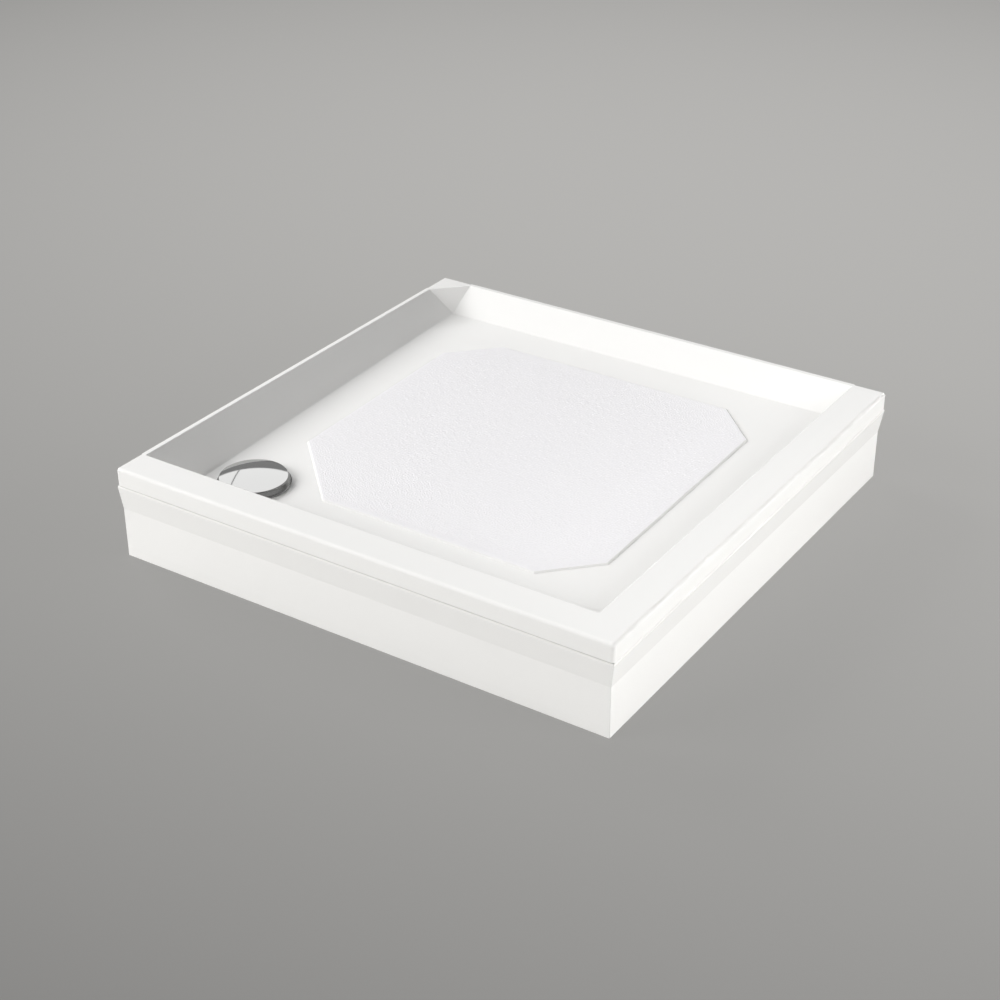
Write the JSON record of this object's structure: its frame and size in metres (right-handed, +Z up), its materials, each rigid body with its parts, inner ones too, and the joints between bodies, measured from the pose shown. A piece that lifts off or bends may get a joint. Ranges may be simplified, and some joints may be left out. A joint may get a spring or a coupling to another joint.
{
  "type": "shower tray",
  "caption": "Square white shower tray for a corner, with a raised anti-slip pad, two mitred aprons, levelling legs and a chrome-domed waste with its trap.",
  "frame": {"origin": "centre of the tray's plan, on the floor under its feet", "axes": "+X to the right-hand apron, +Y to the back wall, +Z up"},
  "size_m": [0.9, 0.9, 0.163],
  "materials": {
    "white_acrylic": "glossy white sanitary acrylic",
    "apron_acrylic": "glossy white acrylic sheet",
    "resin": "rough cured glass-fibre resin",
    "board": "moisture-resistant particle board",
    "batten": "sealed timber strip",
    "chrome": "polished chrome plate",
    "zinc_steel": "bright zinc-plated steel",
    "black_plastic": "moulded black nylon",
    "white_plastic": "moulded white polypropylene",
    "grey_plastic": "moulded grey polypropylene",
    "seal_rubber": "soft black rubber"
  },
  "bodies": {
    "tray": {"tray_body": "white_acrylic", "resin_bed": "resin", "baseboard": "board", "front_batten": "batten", "side_batten": "batten", "front_clips": "grey_plastic", "side_clips": "grey_plastic", "clip_screws": "zinc_steel", "wall_brackets": "zinc_steel", "flange_gasket": "seal_rubber", "trap_gasket": "seal_rubber", "waste_flange": "chrome", "flange_screws": "zinc_steel", "trap_body": "white_plastic", "outlet_washer": "seal_rubber", "outlet_nut": "white_plastic", "socket_screws": "zinc_steel", "leg_socket_front_left": "black_plastic", "lock_nut_front_left": "zinc_steel", "leg_socket_front_right": "black_plastic", "lock_nut_front_right": "zinc_steel", "leg_socket_back_right": "black_plastic", "lock_nut_back_right": "zinc_steel", "leg_socket_back_left": "black_plastic", "lock_nut_back_left": "zinc_steel", "leg_socket_centre": "black_plastic", "lock_nut_centre": "zinc_steel"},
    "front_panel": {"front_apron": "apron_acrylic"},
    "side_panel": {"side_apron": "apron_acrylic", "corner_joiner": "white_plastic"},
    "trap_insert": {"dip_tube": "grey_plastic", "lip_seal": "seal_rubber"},
    "sieve": {"hair_sieve": "grey_plastic"},
    "cover": {"waste_cover": "chrome", "cover_carrier": "white_plastic"},
    "foot_front_left": {"foot_pad_front_left": "black_plastic"},
    "rod_front_left": {"leg_rod_front_left": "zinc_steel"},
    "foot_front_right": {"foot_pad_front_right": "black_plastic"},
    "rod_front_right": {"leg_rod_front_right": "zinc_steel"},
    "foot_back_right": {"foot_pad_back_right": "black_plastic"},
    "rod_back_right": {"leg_rod_back_right": "zinc_steel"},
    "foot_back_left": {"foot_pad_back_left": "black_plastic"},
    "rod_back_left": {"leg_rod_back_left": "zinc_steel"},
    "foot_centre": {"foot_pad_centre": "black_plastic"},
    "rod_centre": {"leg_rod_centre": "zinc_steel"}
  },
  "joints": [
    {"name": "front_apron_pull", "type": "slide", "parent": "tray", "child": "front_panel", "axis": [0, -1, 0], "range_m": [0, 0.05]},
    {"name": "side_apron_pull", "type": "slide", "parent": "tray", "child": "side_panel", "axis": [1, 0, 0], "range_m": [0, 0.05]},
    {"name": "insert_lift", "type": "slide", "parent": "tray", "child": "trap_insert", "axis": [0, 0, 1], "range_m": [0, 0.09]},
    {"name": "sieve_lift", "type": "slide", "parent": "trap_insert", "child": "sieve", "axis": [0, 0, 1], "range_m": [0, 0.03]},
    {"name": "cover_lift", "type": "slide", "parent": "sieve", "child": "cover", "axis": [0, 0, 1], "range_m": [0, 0.04]},
    {"name": "foot_front_left_travel", "type": "slide", "parent": "tray", "child": "foot_front_left", "axis": [0, 0, -1], "range_m": [0, 0.02]},
    {"name": "rod_front_left_turn", "type": "hinge", "parent": "foot_front_left", "child": "rod_front_left", "pos_m": [-0.16, -0.3, 0.05], "axis": [0, 0, -1], "range_deg": [0, 4115]},
    {"name": "foot_front_right_travel", "type": "slide", "parent": "tray", "child": "foot_front_right", "axis": [0, 0, -1], "range_m": [0, 0.02]},
    {"name": "rod_front_right_turn", "type": "hinge", "parent": "foot_front_right", "child": "rod_front_right", "pos_m": [0.3, -0.3, 0.05], "axis": [0, 0, -1], "range_deg": [0, 4115]},
    {"name": "foot_back_right_travel", "type": "slide", "parent": "tray", "child": "foot_back_right", "axis": [0, 0, -1], "range_m": [0, 0.02]},
    {"name": "rod_back_right_turn", "type": "hinge", "parent": "foot_back_right", "child": "rod_back_right", "pos_m": [0.3, 0.3, 0.05], "axis": [0, 0, -1], "range_deg": [0, 4115]},
    {"name": "foot_back_left_travel", "type": "slide", "parent": "tray", "child": "foot_back_left", "axis": [0, 0, -1], "range_m": [0, 0.02]},
    {"name": "rod_back_left_turn", "type": "hinge", "parent": "foot_back_left", "child": "rod_back_left", "pos_m": [-0.24, 0.3, 0.05], "axis": [0, 0, -1], "range_deg": [0, 4115]},
    {"name": "foot_centre_travel", "type": "slide", "parent": "tray", "child": "foot_centre", "axis": [0, 0, -1], "range_m": [0, 0.02]},
    {"name": "rod_centre_turn", "type": "hinge", "parent": "foot_centre", "child": "rod_centre", "pos_m": [0, 0, 0.05], "axis": [0, 0, -1], "range_deg": [0, 4115]}
  ],
  "couplings": [
    {"joint": "rod_front_left_turn", "follows": "foot_front_left_travel", "rad_per_m": 3590.4},
    {"joint": "rod_front_right_turn", "follows": "foot_front_right_travel", "rad_per_m": 3590.4},
    {"joint": "rod_back_right_turn", "follows": "foot_back_right_travel", "rad_per_m": 3590.4},
    {"joint": "rod_back_left_turn", "follows": "foot_back_left_travel", "rad_per_m": 3590.4},
    {"joint": "rod_centre_turn", "follows": "foot_centre_travel", "rad_per_m": 3590.4}
  ]
}
